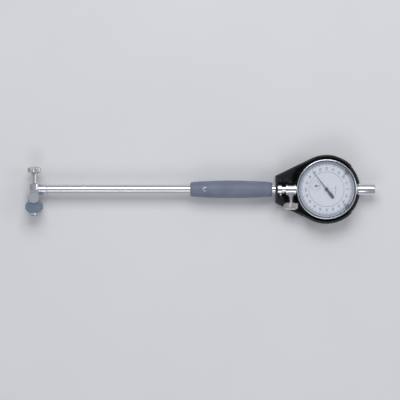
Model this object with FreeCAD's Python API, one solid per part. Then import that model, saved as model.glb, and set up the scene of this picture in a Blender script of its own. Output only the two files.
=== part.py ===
import FreeCAD, Part
import math
import os
from FreeCAD import Vector

# Dial bore gauge with two measuring points, for bores of 50 to 150 mm. Millimetres.
# It lies on its back. The origin is on the surface it lies on, under the centre of the dial.
# +X runs along the tube, from the measuring head to the dial. +Y runs along the measuring
# line, from the sprung contact to the anvil side. +Z is up, out of the face of the dial.

# ------------------------------------------------------------------ driving dimensions
# How it measures
STROKE = 1.2  # travel of the sprung contact, the push rod and the spindle
TRAVEL_PER_TURN = 0.2  # travel that turns the pointer once
RACK_TRAVEL_PER_TURN = 10.0  # travel that turns the rack pinion once
GUIDE_TRAVEL = 2.2  # how far the centring guide gives way

# Clearances
RUN = 0.05  # on the radius of a shaft that slides or turns in its hole
CLEAR = 0.3  # between pieces that move past each other
PUSH_PLAY = 0.2  # between two ends that push each other
SLIP = 0.1  # between flat faces that slide

# Where things are
AXIS_Z = 14.5  # height of the tube's axis above the surface it lies on
HEAD_X = -278.5  # the measuring line
GRIP_START = -129.7
GRIP_END = -51.5
GUARD_END = -48.6  # the end of the guard that the neck passes through
CLAMP_START = -38.7
CLAMP_END = -29.0

# Measuring head
HEAD_R = 5.9
HEAD_TOP = 5.8  # from the tube's axis to the anvil end of the head
HEAD_DROP = 14.0  # from the tube's axis to the contact end of the head
HEAD_EDGE = 0.9
SADDLE_R = 4.3  # the root of the side branch that carries the tube
SPIGOT_R = 3.5
SPIGOT_LENGTH = 20.0  # from the measuring line to the end of the spigot
COLLAR_R = 4.9
COLLAR_START = 6.3  # from the measuring line
COLLAR_LENGTH = 5.3
TUBE_STEP = 0.6  # groove between the collar and the tube

# Screw on the anvil side
SHANK_R = 2.5
SHANK_LENGTH = 11.4
SHANK_DEPTH = 3.4  # how much of it is in the head
SCREW_PITCH = 0.8
SCREW_TURNS = 3
WASHER_R = 3.85
WASHER_T = 1.6
KNOB_R = 6.35
KNOB_T = 6.3
KNOB_EDGE = 0.6

# Bell crank: two arms at a right angle, on a pin beside the measuring line
CRANK_ARM = 3.2
CRANK_HUB_R = 1.4
CRANK_NOSE_R = 0.8
CRANK_ARM_W = 1.1
CRANK_T = 2.4
CRANK_PIN_R = 0.7
CRANK_ROOM = 0.3  # on each side of the crank in its pocket
POCKET_LEFT = 1.8  # the pocket, from the measuring line and from the tube's axis
POCKET_RIGHT = 5.0
POCKET_TOP = 1.5
POCKET_BOTTOM = 6.0

# Sprung contact
PLUNGER_R = 2.0
PLUNGER_TIP_R = 1.2
PLUNGER_STEP = 7.5  # all three from the tube's axis
PLUNGER_END = 19.5
NECK_END = 25.2
PLUNGER_NECK_R = 1.25
BUSH_R = 2.9
BUSH_LENGTH = 5.0
CONTACT_R = 3.9
CONTACT_TOP = 24.8
CONTACT_EDGE = 0.9
CONTACT_DOME = 2.6

# Centring guide: a saddle round the end of the head and a bridge with two feet
LEG_T = 1.6
LEG_R = 5.6
SCREW_Y = 8.5  # screws that hold the guide, below the tube's axis
SCREW_R = 1.6
SCREW_THREAD_R = 1.2
SCREW_THREAD_DEPTH = 1.35
SCREW_HEAD_R = 5.2
SCREW_HEAD_T = 1.3
SCREW_SOCKET_R = 1.5
SCREW_SOCKET_DEPTH = 0.7
RIM_TOP = 12.4
BLOCK_TOP = 13.9
BLOCK_BOTTOM = 19.5
BLOCK_HALF = 8.2
SADDLE_WALL = 1.9
SADDLE_FLOOR = 17.3
BRIDGE_RIDGE = 16.3
BRIDGE_EAVE = 18.0
BRIDGE_HALF = 6.35
FOOT_FLARE = 20.6
FOOT_BOTTOM = 22.3
FOOT_HALF = 3.4
FOOT_INNER = 9.0  # the arch between the feet, from the measuring plane
FOOT_EDGE = 1.2
GUIDE_SPRING_X = 4.4
GUIDE_SPRING_R = 0.8
GUIDE_SPRING_TOP = 11.6
GUIDE_SPRING_TURNS = 2.5
GUIDE_SPRING_WIRE = 0.36

# Tube, push rod and their bushes
TUBE_R = 4.4
TUBE_BORE_R = 3.3
TUBE_END = -56.0
ROD_R = 1.5
ROD_FRONT_BUSH = 5.0
MIDDLE_BUSH_X = -230.8
MIDDLE_BUSH_LENGTH = 6.0
SET_SCREW_R = 1.3
SET_SCREW_STANDS = 0.6
SET_SCREW_ANGLE = 49.0  # from straight up, towards the anvil side
ROD_TIP_LENGTH = 9.0
ROD_CAP_LENGTH = 4.0
ROD_CAP_R = 2.0

# Grip
GRIP_R = 8.4
GRIP_SHOULDER_R = 7.3
GRIP_FACE_R = 5.6
GRIP_ROUND = 5.4

# Neck behind the grip
NECK_R = 4.0
NECK_BORE_R = 2.6
NECK_PLUG = 8.0  # how far it reaches into the tube
REAR_BUSH_LENGTH = 3.5
ROD_SPRING_TURNS = 4
ROD_SPRING_PITCH = 1.8
ROD_SPRING_WIRE = 0.45
ROD_COLLAR_T = 1.6

# Clamp for the stem of the indicator
CLAMP_FLANGE_R = 6.6
CLAMP_R = 5.6
CLAMP_FLANGE_T = 1.8
CLAMP_RIM_T = 1.2
CLAMP_BOSS_R = 3.3
CLAMP_BOSS_END = 7.8
SLEEVE_WALL = 1.0
SLEEVE_SLIT = 0.8
PAD_T = 1.0
THUMB_R = 2.1
THUMB_KNOB_TOP = 12.6
THUMB_KNOB_R = 7.0
THUMB_KNOB_T = 7.0
THUMB_PITCH = 0.7
THUMB_TURNS = 2

# Guard round the indicator
GUARD_R = 32.8
GUARD_WALL = 2.0
GUARD_PLATE = 2.0
GUARD_HALF_END = 12.9
GUARD_TOP = 22.0
GUARD_LIP = 6.0
CAP_OPENING = 43.0  # half the opening at the spindle's cap, in degrees
THUMB_OPENING_HALF = 12.0
NOTCH_ANGLES = (74.0, 108.5)
NOTCH_W = 5.0
NOTCH_DEPTH = 2.5
GUARD_NUT_R = 6.15
GUARD_NUT_T = 4.3

# Indicator
COVER_BOTTOM = 2.8
COVER_T = 1.5
BODY_R = 25.2
BODY_WALL = 1.9
BODY_LEDGE = 1.0
FLANGE_R = 25.8
FLANGE_T = 0.8
FRONT_Z = 21.0  # front rim of the indicator's body
STEM_BOSS_R = 4.6
STEM_BOSS_T = 3.0
CAP_BOSS_R = 4.6
CAP_START = 30.3
CAP_END = 46.6
CAP_R = 5.5
CAP_SPIGOT_R = 3.6
CAP_SPIGOT_T = 5.7
CAP_BORE_R = 2.6
CAP_TOP_T = 2.0
CAP_EDGE = 0.8
COVER_SCREW_CIRCLE = 20.5
COVER_SCREW_R = 1.5
COVER_SCREW_T = 0.7

# Spindle
SPINDLE_R = 2.0
SPINDLE_END = 37.6
SPINDLE_TIP_R = 1.2
SPINDLE_TIP_LENGTH = 3.0
RACK_DEPTH = 0.5
RACK_LENGTH = 9.0
RACK_FLAT = 3.0  # width of the flat that the rack is cut in
PIN_R = 0.7
PIN_X = 14.0
END_SPRING_TURNS = 2.5
END_SPRING_WIRE = 0.4

# Movement
PLATE_T = 0.7
PLATE_SPACE = 2.7  # between the two plates
GEAR_T = 0.6
GEAR_MODULE = 0.16
CENTRE_TEETH = 12
COUNTER_WHEEL_TEETH = 120
COUNTER_PINION_TEETH = 16
RACK_WHEEL_TEETH = 80
ARBOR_R = 0.5
COUNTER_ANGLE = 161.8  # of the small pointer, seen from the centre of the dial
PILLAR_CIRCLE = 22.0
PILLAR_R = 1.2
PILLAR_ANGLES = (90.0, 210.0, 330.0)
COCK_HALF = 1.5
COCK_POST = 2.5

# Face of the dial
CENTRE_PLATE_R = 16.4
FACE_T = 0.5
RING_BORE_R = 16.8
BEZEL_R = 28.5
BEZEL_BOTTOM = 19.4
BEZEL_HOOK_T = 0.5
BEZEL_BORE_R = 26.2
BEZEL_SEAT_R = 27.3
BEZEL_SEAT_Z = 24.6
BEZEL_TOP = 27.0
BEZEL_EDGE = 0.8
CRYSTAL_R = 26.6
CRYSTAL_T = 1.4
GASKET_T = 1.8
POINTER_LONG = 21.5
POINTER_TAIL = 10.5
POINTER_ANGLE = 128.0
POINTER_Z = 22.7
POINTER_T = 0.3
POINTER_BOSS_R = 1.7
TAIL_HALF = 1.5
COUNTER_POINTER_LONG = 3.6
COUNTER_POINTER_Z = 22.0
MARKER_ANGLES = (40.0, -40.0)
MARKER_TIP_R = 20.4
MARKER_Z = 23.6
MARKER_T = 0.3
MARKER_SPAN = 12.0
MARKER_BAND = 1.2

# ------------------------------------------------------------------ worked out from them
X_DIR = Vector(1, 0, 0)
Y_DIR = Vector(0, 1, 0)
Z_DIR = Vector(0, 0, 1)
HEAD = Vector(HEAD_X, 0, AXIS_Z)

CRANK_SWING = 2 * math.degrees(math.asin(STROKE / 2 / CRANK_ARM))
PLUNGER_TOP = CRANK_ARM + STROKE / 2 + CRANK_NOSE_R + PUSH_PLAY
ROD_START = HEAD_X + CRANK_ARM - STROKE / 2 + CRANK_NOSE_R + PUSH_PLAY
SPIGOT_END = HEAD_X + SPIGOT_LENGTH
COLLAR_END = HEAD_X + COLLAR_START + COLLAR_LENGTH
TUBE_START = COLLAR_END + TUBE_STEP
HEAD_FLAT = HEAD_R - 1.5
LEG_IN = HEAD_FLAT + SLIP
LEG_OUT = LEG_IN + LEG_T
ANVIL_BORE_BOTTOM = HEAD_TOP - SHANK_DEPTH - SLIP
WASHER_BOTTOM = HEAD_TOP - SHANK_DEPTH + SHANK_LENGTH
KNOB_BOTTOM = WASHER_BOTTOM + WASHER_T

CLAMP_MIDDLE = (CLAMP_START + CLAMP_FLANGE_T + CLAMP_END - CLAMP_RIM_T) / 2
SLEEVE_START = CLAMP_START + CLAMP_FLANGE_T + 0.4
STEM_START = SLEEVE_START + 0.5
SPINDLE_START = STEM_START - 1.5
SPINDLE_TIP_START = SPINDLE_START - SPINDLE_TIP_LENGTH
ROD_CAP_END = SPINDLE_TIP_START - PUSH_PLAY
ROD_END = ROD_CAP_END - ROD_CAP_LENGTH + 2.0
REAR_BUSH_START = GUARD_END
ROD_SPRING_END = REAR_BUSH_START
ROD_SPRING_START = ROD_SPRING_END - ROD_SPRING_TURNS * ROD_SPRING_PITCH - ROD_SPRING_WIRE
ROD_COLLAR_END = ROD_SPRING_START - STROKE - CLEAR

BODY_BORE_R = BODY_R - BODY_WALL
PLATE_SEAT_R = BODY_BORE_R + BODY_LEDGE
COVER_TOP = COVER_BOTTOM + COVER_T
BRIDGE_PLATE_Z = FRONT_Z - PLATE_T
PLATE_Z = BRIDGE_PLATE_Z - PLATE_SPACE - PLATE_T
LOW_GEAR_Z = PLATE_Z + PLATE_T + CLEAR
HIGH_GEAR_Z = BRIDGE_PLATE_Z - CLEAR - GEAR_T
RACK_PINION_R = RACK_TRAVEL_PER_TURN / (2 * math.pi)
COUNTER_DISTANCE = GEAR_MODULE * (CENTRE_TEETH + COUNTER_WHEEL_TEETH) / 2
RACK_DISTANCE = GEAR_MODULE * (COUNTER_PINION_TEETH + RACK_WHEEL_TEETH) / 2
COUNTER_X = COUNTER_DISTANCE * math.cos(math.radians(COUNTER_ANGLE))
COUNTER_Y = COUNTER_DISTANCE * math.sin(math.radians(COUNTER_ANGLE))
RACK_Y = -(SPINDLE_R - RACK_DEPTH + CLEAR / 2 + RACK_PINION_R)
RACK_X = COUNTER_X - math.sqrt(RACK_DISTANCE**2 - (COUNTER_Y - RACK_Y) ** 2)
FACE_Z = FRONT_Z
RING_Z = FRONT_Z + CLEAR
COCK_Z = AXIS_Z - RACK_FLAT / 2 - CLEAR - PLATE_T


# ------------------------------------------------------------------ ways of making a shape
def extruded(points, height, direction=Z_DIR):
    """A prism over a closed outline of vectors."""
    outline = Part.makePolygon(points + [points[0]])
    return Part.Face(outline).extrude(direction * height)


def spun(points, centre, direction):
    """A turned solid from a closed half-section of vectors."""
    section = Part.Face(Part.makePolygon(points + [points[0]]))
    return section.revolve(centre, direction, 360)


def turned_x(section):
    """Turned round the tube's axis, from pairs of x and radius."""
    points = [Vector(x, r, AXIS_Z) for x, r in section]
    return spun(points, Vector(0, 0, AXIS_Z), X_DIR)


def turned_y(section):
    """Turned round the measuring line, from pairs of y and radius."""
    points = [Vector(HEAD_X + r, y, AXIS_Z) for y, r in section]
    return spun(points, HEAD, Y_DIR)


def turned_z(section, x=0.0, y=0.0):
    """Turned round an upright axis, from pairs of z and radius."""
    points = [Vector(x + r, y, z) for z, r in section]
    return spun(points, Vector(x, y, 0), Z_DIR)


def ring_section(start, end, outer, inner=0.0):
    """The half-section of a plain ring or disc."""
    return [(start, inner), (start, outer), (end, outer), (end, inner)]


def edged_section(start, end, outer, edge, inner=0.0):
    """The same with both outer edges broken."""
    return [
        (start, inner),
        (start, outer - edge),
        (start + edge, outer),
        (end - edge, outer),
        (end, outer - edge),
        (end, inner),
    ]


def rod_x(start, end, radius):
    return turned_x(ring_section(start, end, radius))


def rod_y(start, end, radius):
    return turned_y(ring_section(start, end, radius))


def box_between(low, high):
    size = high.sub(low)
    return Part.makeBox(size.x, size.y, size.z, low)


def head_box(x_low, x_high, y_low, y_high, half_z):
    """A box placed from the measuring line and the tube's axis, as deep before as behind."""
    low = HEAD.add(Vector(x_low, y_low, -half_z))
    return box_between(low, HEAD.add(Vector(x_high, y_high, half_z)))


def coil(radius, wire, pitch, turns, start, direction):
    """A spring of square wire that begins at start and climbs along direction."""
    path = Part.makeHelix(pitch, pitch * turns, radius)
    half = wire / 2
    corners = [(-half, -half), (half, -half), (half, half), (-half, half)]
    points = [Vector(radius + u, 0, half + v) for u, v in corners]
    section = Part.makePolygon(points + [points[0]])
    path.translate(Vector(0, 0, half))
    spring = path.makePipeShell([section], True, True)
    spring.Placement = FreeCAD.Placement(start, FreeCAD.Rotation(Z_DIR, direction))
    return spring


def mirrored_in_axis_plane(shape):
    """The same piece on the other side of the level plane through the tube's axis."""
    return shape.mirror(Vector(0, 0, AXIS_Z), Z_DIR)


# ------------------------------------------------------------------ measuring head
def crank_point(along, across=0.0):
    """A point given along and across the bell crank's lower arm, with the crank at rest."""
    turn = math.radians(CRANK_SWING / 2)
    x = -along * math.cos(turn) - across * math.sin(turn)
    y = -along * math.sin(turn) + across * math.cos(turn)
    return HEAD.add(Vector(CRANK_ARM + x, y - CRANK_ARM, 0))


def head_body():
    end = HEAD_R - HEAD_EDGE
    body = turned_y(
        [
            (-HEAD_DROP, 0),
            (-HEAD_DROP, end),
            (-HEAD_DROP + HEAD_EDGE, HEAD_R),
            (HEAD_TOP - HEAD_EDGE, HEAD_R),
            (HEAD_TOP, end),
            (HEAD_TOP, 0),
        ]
    )
    for side in (1, -1):
        flat_top = -SCREW_Y + LEG_R + GUIDE_TRAVEL + CLEAR
        corner = HEAD.add(Vector(-HEAD_R, -HEAD_DROP, side * (HEAD_FLAT + HEAD_R / 2)))
        flat = Part.makeBox(2 * HEAD_R, HEAD_DROP + flat_top, HEAD_R, corner)
        flat.translate(Vector(0, 0, -HEAD_R / 2))
        body = body.cut(flat)
    body = body.fuse(rod_x(HEAD_X, HEAD_X + COLLAR_START, SADDLE_R))
    body = body.fuse(rod_x(HEAD_X, SPIGOT_END, SPIGOT_R)).removeSplitter()
    room = CRANK_T / 2 + CRANK_ROOM
    holes = [
        head_box(-POCKET_LEFT, POCKET_RIGHT, -POCKET_BOTTOM, POCKET_TOP, room),
        rod_x(HEAD_X + CRANK_ARM, SPIGOT_END, ROD_R + CLEAR),
        rod_y(-HEAD_DROP, -POCKET_BOTTOM, PLUNGER_R + RUN),
        rod_y(-HEAD_DROP, -HEAD_DROP + BUSH_LENGTH, BUSH_R),
        rod_y(ANVIL_BORE_BOTTOM, HEAD_TOP, SHANK_R + RUN),
        rod_x(SPIGOT_END - ROD_FRONT_BUSH, SPIGOT_END, ROD_R + 1.0),
        crank_pin(),
    ]
    for side in (1, -1):
        spring_top = -GUIDE_SPRING_TOP + GUIDE_TRAVEL + CLEAR
        seat = rod_y(-HEAD_DROP, spring_top, GUIDE_SPRING_R + CLEAR / 2)
        seat.translate(Vector(side * GUIDE_SPRING_X, 0, 0))
        holes.append(seat)
    holes += [guide_screw_thread(), mirrored_in_axis_plane(guide_screw_thread())]
    return body.cut(holes)


def crank_pin():
    centre = HEAD.add(Vector(CRANK_ARM, -CRANK_ARM, -HEAD_FLAT))
    return Part.makeCylinder(CRANK_PIN_R, HEAD_FLAT + CRANK_T / 2 + 1.5, centre, Z_DIR)


def bell_crank():
    base = Vector(0, 0, -CRANK_T / 2)
    hub = Part.makeCylinder(CRANK_HUB_R, CRANK_T, crank_point(0).add(base), Z_DIR)
    half = CRANK_ARM_W / 2
    pieces = []
    for along, across in ((1, 0), (0, 1)):
        tip = crank_point(along * CRANK_ARM, across * CRANK_ARM)
        pieces.append(Part.makeCylinder(CRANK_NOSE_R, CRANK_T, tip.add(base), Z_DIR))
        ends = [(0, -half), (CRANK_ARM, -half), (CRANK_ARM, half), (0, half)]
        corners = [crank_point(u * along + v * across, u * across + v * along) for u, v in ends]
        pieces.append(extruded([c.add(base) for c in corners], CRANK_T))
    bore = Part.makeCylinder(CRANK_PIN_R + RUN, CRANK_T, crank_point(0).add(base), Z_DIR)
    return hub.fuse(pieces).removeSplitter().cut(bore)


def plunger_bush():
    return turned_y(ring_section(-HEAD_DROP, -HEAD_DROP + BUSH_LENGTH, BUSH_R, PLUNGER_R + RUN))


def contact_plunger():
    return turned_y(
        [
            (-PLUNGER_TOP, 0),
            (-PLUNGER_TOP, PLUNGER_TIP_R),
            (-PLUNGER_STEP, PLUNGER_TIP_R),
            (-PLUNGER_STEP, PLUNGER_R),
            (-PLUNGER_END + 0.7, PLUNGER_R),
            (-PLUNGER_END, PLUNGER_NECK_R),
            (-NECK_END, PLUNGER_NECK_R),
            (-NECK_END, 0),
        ]
    )


def contact_tip():
    edge = -CONTACT_TOP - CONTACT_EDGE
    dome_r = (CONTACT_R**2 + CONTACT_DOME**2) / (2 * CONTACT_DOME)
    half_way = math.asin(CONTACT_R / dome_r) / 2
    centre_y = edge - CONTACT_DOME + dome_r
    shoulder = Vector(HEAD_X + CONTACT_R, edge, AXIS_Z)
    middle = HEAD.add(Vector(dome_r * math.sin(half_way), centre_y - dome_r * math.cos(half_way), 0))
    tip = HEAD.add(Vector(0, edge - CONTACT_DOME, 0))
    straight = [
        tip,
        Vector(HEAD_X, -NECK_END, AXIS_Z),
        Vector(HEAD_X + PLUNGER_NECK_R, -NECK_END, AXIS_Z),
        Vector(HEAD_X + PLUNGER_NECK_R, -CONTACT_TOP, AXIS_Z),
        Vector(HEAD_X + CONTACT_R - 0.4, -CONTACT_TOP, AXIS_Z),
        Vector(HEAD_X + CONTACT_R, -CONTACT_TOP - 0.4, AXIS_Z),
        shoulder,
    ]
    dome = Part.Arc(shoulder, middle, tip).toShape()
    section = Part.Face(Part.Wire(Part.makePolygon(straight).Edges + [dome]))
    return section.revolve(HEAD, Y_DIR, 360)


def anvil_washer():
    section = edged_section(WASHER_BOTTOM, KNOB_BOTTOM, WASHER_R, 0.3, SHANK_R + RUN)
    return turned_y(section)


def anvil_screw():
    top = KNOB_BOTTOM + KNOB_T
    shank = turned_y(edged_section(HEAD_TOP - SHANK_DEPTH, KNOB_BOTTOM, SHANK_R, 0.3))
    knob = turned_y(edged_section(KNOB_BOTTOM + SLIP, top, KNOB_R, KNOB_EDGE))
    joint = rod_y(KNOB_BOTTOM - 1.0, KNOB_BOTTOM + 1.0, SHANK_R)
    return shank.fuse([knob, joint]).removeSplitter()


def head_collar():
    start = HEAD_X + COLLAR_START
    return turned_x(edged_section(start, COLLAR_END, COLLAR_R, 0.4, SPIGOT_R))


# ------------------------------------------------------------------ centring guide
def guide_leg():
    """One side plate, with a round end and the slot that its screw runs in."""
    inner = HEAD.add(Vector(0, -SCREW_Y, LEG_IN))
    plate = Part.makeCylinder(LEG_R, LEG_T, inner, Z_DIR)
    foot = box_between(
        inner.add(Vector(-LEG_R, SCREW_Y - BLOCK_BOTTOM, 0)), inner.add(Vector(LEG_R, 0, LEG_T))
    )
    width = SCREW_R + SLIP
    slot = box_between(
        inner.add(Vector(-width, -GUIDE_TRAVEL - SLIP, 0)), inner.add(Vector(width, 0, LEG_T))
    )
    ends = [Part.makeCylinder(width, LEG_T, inner, Z_DIR)]
    low_end = inner.add(Vector(0, -GUIDE_TRAVEL - SLIP, 0))
    ends.append(Part.makeCylinder(width, LEG_T, low_end, Z_DIR))
    return plate.fuse(foot).cut(slot.fuse(ends))


def bridge():
    """The cross-bar, ridged on top and narrowed to its feet, with an arch between them."""
    section = [
        (0, -BRIDGE_RIDGE),
        (BRIDGE_HALF, -BRIDGE_EAVE),
        (BRIDGE_HALF, -FOOT_FLARE),
        (FOOT_HALF, -FOOT_BOTTOM),
        (-FOOT_HALF, -FOOT_BOTTOM),
        (-BRIDGE_HALF, -FOOT_FLARE),
        (-BRIDGE_HALF, -BRIDGE_EAVE),
    ]
    points = [Vector(HEAD_X + x, y, 0) for x, y in section]
    bar = extruded(points, 2 * AXIS_Z)
    rise = FOOT_BOTTOM - BLOCK_BOTTOM
    arch_r = (FOOT_INNER**2 + rise**2) / (2 * rise)
    centre = Vector(HEAD_X - BRIDGE_HALF, -BLOCK_BOTTOM - arch_r, AXIS_Z)
    bar = bar.cut(Part.makeCylinder(arch_r, 2 * BRIDGE_HALF, centre, X_DIR))
    for z, inward in ((0, 1), (2 * AXIS_Z, -1)):
        corner = [
            Vector(HEAD_X - BRIDGE_HALF, -FOOT_BOTTOM, z),
            Vector(HEAD_X - BRIDGE_HALF, -FOOT_BOTTOM + FOOT_EDGE, z),
            Vector(HEAD_X - BRIDGE_HALF, -FOOT_BOTTOM, z + inward * FOOT_EDGE),
        ]
        bar = bar.cut(extruded(corner, 2 * BRIDGE_HALF, X_DIR))
    return bar


def centring_guide():
    rim = turned_y(ring_section(-BLOCK_BOTTOM, -RIM_TOP, HEAD_R + SADDLE_WALL))
    low = HEAD.add(Vector(-BLOCK_HALF, -BLOCK_BOTTOM, -LEG_OUT))
    block = box_between(low, HEAD.add(Vector(BLOCK_HALF, -BLOCK_TOP, LEG_OUT)))
    corners = [e for e in block.Edges if abs(e.tangentAt(e.FirstParameter).z) > 0.9]
    block = block.makeChamfer(0.8, corners)
    between_legs = head_box(-BLOCK_HALF, BLOCK_HALF, -BLOCK_BOTTOM, -RIM_TOP, LEG_OUT)
    saddle = rim.common(between_legs).fuse([block, bridge()])
    pocket = rod_y(-SADDLE_FLOOR, -RIM_TOP, HEAD_R + CLEAR)
    pocket = pocket.common(head_box(-HEAD_R * 2, HEAD_R * 2, -SADDLE_FLOOR, -RIM_TOP, LEG_IN))
    plunger_way = rod_y(-FOOT_BOTTOM, -SADDLE_FLOOR, PLUNGER_R + 2 * CLEAR)
    legs = [guide_leg(), mirrored_in_axis_plane(guide_leg())]
    saddle = saddle.cut([pocket, plunger_way])
    return saddle.fuse(legs).removeSplitter()


def guide_screw_thread():
    start = HEAD.add(Vector(0, -SCREW_Y, HEAD_FLAT - SCREW_THREAD_DEPTH))
    return Part.makeCylinder(SCREW_THREAD_R, SCREW_THREAD_DEPTH, start, Z_DIR)


def guide_screw():
    seat = HEAD.add(Vector(0, -SCREW_Y, HEAD_FLAT))
    under_head = SLIP + LEG_T + SLIP
    shoulder = Part.makeCylinder(SCREW_R, under_head, seat, Z_DIR)
    top = seat.z + under_head
    section = edged_section(top, top + SCREW_HEAD_T, SCREW_HEAD_R, 0.35)
    head = turned_z(section, HEAD_X, -SCREW_Y)
    socket_base = Vector(HEAD_X, -SCREW_Y, top + SCREW_HEAD_T - SCREW_SOCKET_DEPTH)
    socket = Part.makeCylinder(SCREW_SOCKET_R, SCREW_SOCKET_DEPTH, socket_base, Z_DIR)
    return guide_screw_thread().fuse([shoulder, head]).removeSplitter().cut(socket)


def guide_screws():
    return Part.makeCompound([guide_screw(), mirrored_in_axis_plane(guide_screw())])


def guide_springs():
    length = SADDLE_FLOOR - GUIDE_SPRING_TOP - GUIDE_SPRING_WIRE
    pitch = length / GUIDE_SPRING_TURNS
    radius = GUIDE_SPRING_R - GUIDE_SPRING_WIRE / 2
    springs = []
    for side in (1, -1):
        start = HEAD.add(Vector(side * GUIDE_SPRING_X, -SADDLE_FLOOR, 0))
        springs.append(coil(radius, GUIDE_SPRING_WIRE, pitch, GUIDE_SPRING_TURNS, start, Y_DIR))
    return Part.makeCompound(springs)


# ------------------------------------------------------------------ tube, push rod and grip
def stem_tube():
    return turned_x(
        [
            (TUBE_START, SPIGOT_R),
            (TUBE_START, TUBE_R - 0.3),
            (TUBE_START + 0.3, TUBE_R),
            (TUBE_END, TUBE_R),
            (TUBE_END, TUBE_BORE_R),
            (SPIGOT_END, TUBE_BORE_R),
            (SPIGOT_END, SPIGOT_R),
        ]
    ).cut(tube_set_screw())


def tube_set_screw():
    slope = math.radians(SET_SCREW_ANGLE)
    outward = Vector(0, math.sin(slope), math.cos(slope))
    start = Vector(MIDDLE_BUSH_X, 0, AXIS_Z).add(outward * TUBE_BORE_R)
    length = TUBE_R + SET_SCREW_STANDS - TUBE_BORE_R
    pin = Part.makeCylinder(SET_SCREW_R, length, start, outward)
    return pin.cut(rod_x(MIDDLE_BUSH_X - 2, MIDDLE_BUSH_X + 2, TUBE_BORE_R))


def rod_bush_front():
    section = ring_section(SPIGOT_END - ROD_FRONT_BUSH, SPIGOT_END, ROD_R + 1.0, ROD_R + RUN)
    return turned_x(section)


def rod_bush_middle():
    half = MIDDLE_BUSH_LENGTH / 2
    section = ring_section(MIDDLE_BUSH_X - half, MIDDLE_BUSH_X + half, TUBE_BORE_R, ROD_R + RUN)
    return turned_x(section)


def rod_bush_rear():
    section = ring_section(
        REAR_BUSH_START, REAR_BUSH_START + REAR_BUSH_LENGTH, NECK_BORE_R, ROD_R + RUN
    )
    return turned_x(section)


def push_rod_tip():
    """The hard pin that the bell crank pushes, let into the front of the rod."""
    return rod_x(ROD_START, ROD_START + ROD_TIP_LENGTH, PLUNGER_TIP_R)


def push_rod():
    start = ROD_START + ROD_TIP_LENGTH / 2
    return turned_x(
        [
            (start, PLUNGER_TIP_R),
            (start, ROD_R),
            (ROD_END, ROD_R),
            (ROD_END, 0),
            (ROD_START + ROD_TIP_LENGTH, 0),
            (ROD_START + ROD_TIP_LENGTH, PLUNGER_TIP_R),
        ]
    ).cut(push_rod_tip())


def push_rod_cap():
    start = ROD_CAP_END - ROD_CAP_LENGTH
    return rod_x(start, ROD_CAP_END, ROD_CAP_R).cut(rod_x(start, ROD_END, ROD_R))


def rod_collar():
    return turned_x(ring_section(ROD_COLLAR_END - ROD_COLLAR_T, ROD_COLLAR_END, 2.2, ROD_R))


def rod_spring():
    radius = NECK_BORE_R - CLEAR / 2 - ROD_SPRING_WIRE / 2
    start = Vector(ROD_SPRING_END, 0, AXIS_Z)
    return coil(
        radius, ROD_SPRING_WIRE, ROD_SPRING_PITCH, ROD_SPRING_TURNS, start, X_DIR * -1
    )


def grip_radius(x):
    """A long swell from end to end, drawn in by a quarter-round at both ends."""
    middle = (GRIP_START + GRIP_END) / 2
    half = (GRIP_END - GRIP_START) / 2
    swell = GRIP_R - (GRIP_R - GRIP_SHOULDER_R) * ((x - middle) / half) ** 2
    into_round = max(abs(x - middle) - (half - GRIP_ROUND), 0) / GRIP_ROUND
    return swell - (GRIP_SHOULDER_R - GRIP_FACE_R) * (1 - math.sqrt(1 - into_round**2))


def handle_grip():
    """A barrel with a long swell and rounded ends."""
    round_stations = [GRIP_ROUND * (1 - math.sin(math.radians(a))) for a in (90, 62, 36, 0)]
    length = GRIP_END - GRIP_START
    swell_stations = [length * part for part in (0.25, 0.4, 0.5)]
    half_way = round_stations + swell_stations
    stations = [GRIP_START + d for d in half_way]
    stations += [GRIP_END - d for d in reversed(half_way[:-1])]
    outline = [(x, grip_radius(x)) for x in stations]
    bore = [(GRIP_END, NECK_R), (TUBE_END, NECK_R), (TUBE_END, TUBE_R), (GRIP_START, TUBE_R)]
    return turned_x(outline + bore)


def neck_tube():
    return turned_x(
        [
            (TUBE_END - NECK_PLUG, NECK_BORE_R),
            (TUBE_END - NECK_PLUG, TUBE_BORE_R),
            (TUBE_END, TUBE_BORE_R),
            (TUBE_END, NECK_R),
            (SLEEVE_START, NECK_R),
            (SLEEVE_START, NECK_BORE_R),
        ]
    )


# ------------------------------------------------------------------ clamp
def clamp_body():
    left = CLAMP_START + CLAMP_FLANGE_T
    right = CLAMP_END - CLAMP_RIM_T
    ring = turned_x(
        [
            (CLAMP_START, NECK_R),
            (CLAMP_START, CLAMP_FLANGE_R - 0.4),
            (CLAMP_START + 0.4, CLAMP_FLANGE_R),
            (left, CLAMP_FLANGE_R),
            (left, CLAMP_R),
            (right, CLAMP_R),
            (right, CLAMP_FLANGE_R),
            (CLAMP_END, CLAMP_FLANGE_R),
            (CLAMP_END, NECK_R + SLEEVE_WALL),
            (SLEEVE_START, NECK_R + SLEEVE_WALL),
            (SLEEVE_START, NECK_R),
        ]
    )
    top = Vector(CLAMP_MIDDLE, 0, AXIS_Z)
    boss = Part.makeCylinder(CLAMP_BOSS_R, CLAMP_BOSS_END, top, Y_DIR * -1)
    hole = Part.makeCylinder(THUMB_R + RUN, CLAMP_BOSS_END, top, Y_DIR * -1)
    inside = rod_x(CLAMP_START, CLAMP_END, NECK_R + SLEEVE_WALL)
    return ring.fuse(boss.cut(inside)).removeSplitter().cut(hole)


def split_sleeve():
    sleeve = turned_x(ring_section(SLEEVE_START, CLAMP_END, NECK_R + SLEEVE_WALL, NECK_R))
    low = Vector(SLEEVE_START, 0, AXIS_Z - SLEEVE_SLIT / 2)
    slit = box_between(low, Vector(CLAMP_END, CLAMP_R, AXIS_Z + SLEEVE_SLIT / 2))
    return sleeve.cut(slit)


def below_clamp(section):
    """Turned round the axis of the thumb screw, from pairs of distance below the tube and radius."""
    points = [Vector(CLAMP_MIDDLE + r, -y, AXIS_Z) for y, r in section]
    return spun(points, Vector(CLAMP_MIDDLE, 0, AXIS_Z), Y_DIR)


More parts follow.
